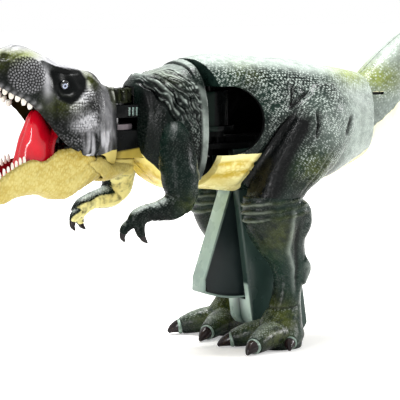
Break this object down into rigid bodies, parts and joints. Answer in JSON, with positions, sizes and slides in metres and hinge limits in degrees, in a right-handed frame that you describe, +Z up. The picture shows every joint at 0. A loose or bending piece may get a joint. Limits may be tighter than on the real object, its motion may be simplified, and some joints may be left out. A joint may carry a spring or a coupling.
{
  "type": "dinosaur fidget toy",
  "caption": "Meat-eating dinosaur toy on its hind feet, with a grip and a trigger between the legs that swings the chest, head and tail to one side and closes the jaw.",
  "frame": {"origin": "on the ground under the middle of the toy's overall box, below the grip", "axes": "+X towards the tail tip (the head points along -X), +Y to the toy's own right side, +Z up"},
  "size_m": [0.3408, 0.0874, 0.1936],
  "materials": {
    "skin_green": "glossy moulded plastic, dark green with sage and olive paint, cream below",
    "grip_green": "smooth glossy plastic",
    "head_dark": "olive-black plastic with pale dry-brushed scales",
    "frame_black": "plain black moulded plastic",
    "belly_cream": "cream-yellow plastic with satin gloss",
    "tongue_red": "high-gloss red plastic",
    "tooth_ivory": "satin off-white paint",
    "eye": "glossy pale blue with a dark pupil",
    "steel": "plain zinc-plated steel"
  },
  "bodies": {
    "root": {"body_shell_left": "skin_green", "body_shell_right": "skin_green", "grip_shell_left": "grip_green", "grip_shell_right": "grip_green", "leg_left": "skin_green", "leg_right": "skin_green", "inner_frame": "frame_black", "trigger_pin": "steel", "trigger_spring": "steel", "chest_pin": "steel", "tail_pin": "steel", "body_screw_upper_front": "steel", "body_screw_upper_rear": "steel", "body_screw_lower_rear": "steel", "grip_screw_upper": "steel", "grip_screw_lower": "steel"},
    "trigger": {"trigger": "grip_green"},
    "slider": {"drive_slider": "frame_black"},
    "chest": {"chest_shell_left": "skin_green", "chest_shell_right": "skin_green", "arm_left": "skin_green", "arm_right": "skin_green", "chest_frame": "frame_black", "neck_pin": "steel", "chest_screw_upper": "steel", "chest_screw_lower": "steel"},
    "neck_link": {"neck_link": "frame_black"},
    "head": {"head_shell_left": "head_dark", "head_shell_right": "head_dark", "eye_left": "eye", "eye_right": "eye", "neck_crank": "frame_black", "upper_teeth": "tooth_ivory", "jaw_pin": "steel", "head_screw_rear": "steel", "head_screw_front": "steel"},
    "jaw_link": {"jaw_link": "frame_black"},
    "jaw": {"lower_jaw": "belly_cream", "tongue": "tongue_red", "lower_teeth": "tooth_ivory"},
    "tail": {"tail_shell_left": "skin_green", "tail_shell_right": "skin_green", "tail_crank": "frame_black", "tail_screw_front": "steel", "tail_screw_rear": "steel"}
  },
  "joints": [
    {"name": "trigger_pull", "type": "hinge", "parent": "root", "child": "trigger", "pos_m": [-0.013, 0, 0.092], "axis": [0, -1, 0], "range_deg": [0, 20], "stiffness_Nm_per_rad": 0.3, "springref_deg": -20.05},
    {"name": "slider_run", "type": "slide", "parent": "root", "child": "slider", "axis": [-1, 0, 0], "range_m": [0, 0.0049]},
    {"name": "chest_swing", "type": "hinge", "parent": "root", "child": "chest", "pos_m": [-0.03, 0, 0.1182], "axis": [0, 0, 1], "range_deg": [0, 24.1]},
    {"name": "neck_link_slide", "type": "slide", "parent": "chest", "child": "neck_link", "axis": [-1, 0, 0], "range_m": [0, 0.00294]},
    {"name": "neck_swing", "type": "hinge", "parent": "chest", "child": "head", "pos_m": [-0.087, 0, 0.1206], "axis": [0, 0, 1], "range_deg": [0, 24.1]},
    {"name": "jaw_link_slide", "type": "slide", "parent": "head", "child": "jaw_link", "axis": [1, 0, 0], "range_m": [0, 0.00294]},
    {"name": "jaw_bite", "type": "hinge", "parent": "head", "child": "jaw", "pos_m": [-0.113, 0, 0.111], "axis": [0, 1, 0], "range_deg": [0, 33.1]},
    {"name": "tail_swing", "type": "hinge", "parent": "root", "child": "tail", "pos_m": [0.058, 0, 0.1182], "axis": [0, 0, -1], "range_deg": [0, 20.1]}
  ],
  "couplings": [
    {"joint": "slider_run", "follows": "trigger_pull", "m_per_rad": 0.014},
    {"joint": "chest_swing", "follows": "trigger_pull", "ratio": 1.2},
    {"joint": "neck_link_slide", "follows": "trigger_pull", "m_per_rad": 0.0084},
    {"joint": "neck_swing", "follows": "trigger_pull", "ratio": 1.2},
    {"joint": "jaw_link_slide", "follows": "trigger_pull", "m_per_rad": 0.0084},
    {"joint": "jaw_bite", "follows": "trigger_pull", "ratio": 1.65},
    {"joint": "tail_swing", "follows": "trigger_pull", "ratio": 1}
  ]
}
